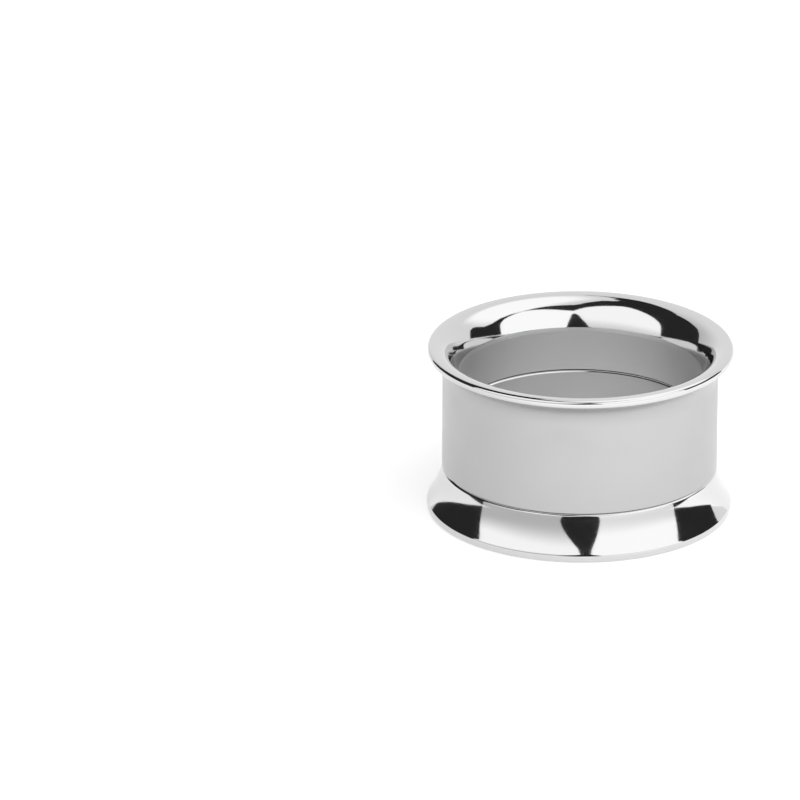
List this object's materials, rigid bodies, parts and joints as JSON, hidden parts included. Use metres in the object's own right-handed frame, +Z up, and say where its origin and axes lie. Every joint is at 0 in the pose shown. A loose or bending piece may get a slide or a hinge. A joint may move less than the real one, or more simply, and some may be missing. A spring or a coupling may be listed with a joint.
{
  "type": "ear tunnel",
  "caption": "Polished steel double-flared ear tunnel: a satin hollow barrel with a fixed flare, and a second flare whose threaded stub screws into the barrel's open end.",
  "frame": {"origin": "centre of the lower rim's plane, on the axis of the bore, where the tunnel stands on its screw flare", "axes": "+Z up along the bore, from the screw flare to the fixed flare"},
  "size_m": [0.0222, 0.0222, 0.0126],
  "materials": {
    "satin_steel": "turned 316L stainless steel, satin on the barrel and in the bore, mirror-polished on the flare",
    "polished_steel": "mirror-polished 316L stainless steel, not plated, with a satin bore"
  },
  "bodies": {
    "screw_flare": {"screw_flare": "polished_steel"},
    "barrel": {"barrel": "satin_steel"}
  },
  "joints": [
    {"name": "barrel_unscrew", "type": "slide", "parent": "screw_flare", "child": "barrel", "axis": [0, 0, 1], "range_m": [0, 0.012]}
  ]
}
